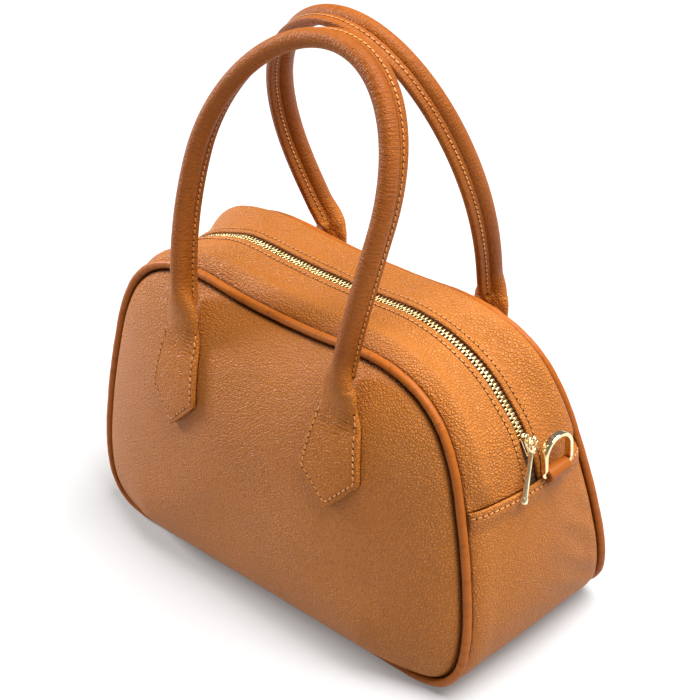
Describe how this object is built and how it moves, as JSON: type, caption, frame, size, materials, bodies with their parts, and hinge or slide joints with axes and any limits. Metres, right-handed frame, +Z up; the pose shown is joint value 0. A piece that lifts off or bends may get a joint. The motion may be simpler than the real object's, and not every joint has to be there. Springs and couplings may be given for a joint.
{
  "type": "handbag",
  "caption": "Structured leather handbag with piped front and back panels, a zipped arched top, rolled arch handles on pointed tabs, and swinging strap rings at its ends.",
  "frame": {"origin": "middle of the flat base, on the surface the bag stands on", "axes": "+Z up through the handles, +X along the bag's length towards the end with the zip slider, -Y out of the front panel"},
  "size_m": [0.2863, 0.1494, 0.3207],
  "materials": {
    "leather": "pebbled tan leather with a soft sheen",
    "leather_trim": "smooth tan leather, folded",
    "leather_handle": "tan leather with fine creases across the roll",
    "zip_tape": "woven brown tape",
    "zip_metal": "polished pale gold teeth",
    "gold_metal": "polished pale gold"
  },
  "bodies": {
    "bag": {"front_panel": "leather", "front_piping": "leather_trim", "back_panel": "leather", "back_piping": "leather_trim", "lower_gusset": "leather", "top_gusset_front": "leather", "top_gusset_back": "leather", "zip_tape": "zip_tape", "zip_chain": "zip_metal", "zip_slider": "gold_metal", "ring_loop_right": "leather_trim", "ring_loop_left": "leather_trim", "handle_front": "leather_handle", "handle_back": "leather_handle"},
    "pull": {"zip_pull": "gold_metal"},
    "ring_right": {"ring_right": "gold_metal"},
    "ring_left": {"ring_left": "gold_metal"}
  },
  "joints": [
    {"name": "pull_hinge", "type": "hinge", "parent": "bag", "child": "pull", "pos_m": [0.13716, 0, 0.13225], "axis": [-0.084, -0.8976, 0.4328], "range_deg": [0, 150]},
    {"name": "ring_right_hinge", "type": "hinge", "parent": "bag", "child": "ring_right", "pos_m": [0.14155, 0.012, 0.11076], "axis": [0, 1, 0], "range_deg": [0, 150]},
    {"name": "ring_left_hinge", "type": "hinge", "parent": "bag", "child": "ring_left", "pos_m": [-0.13679, 0.012, 0.10966], "axis": [0, -1, 0], "range_deg": [0, 150]}
  ]
}
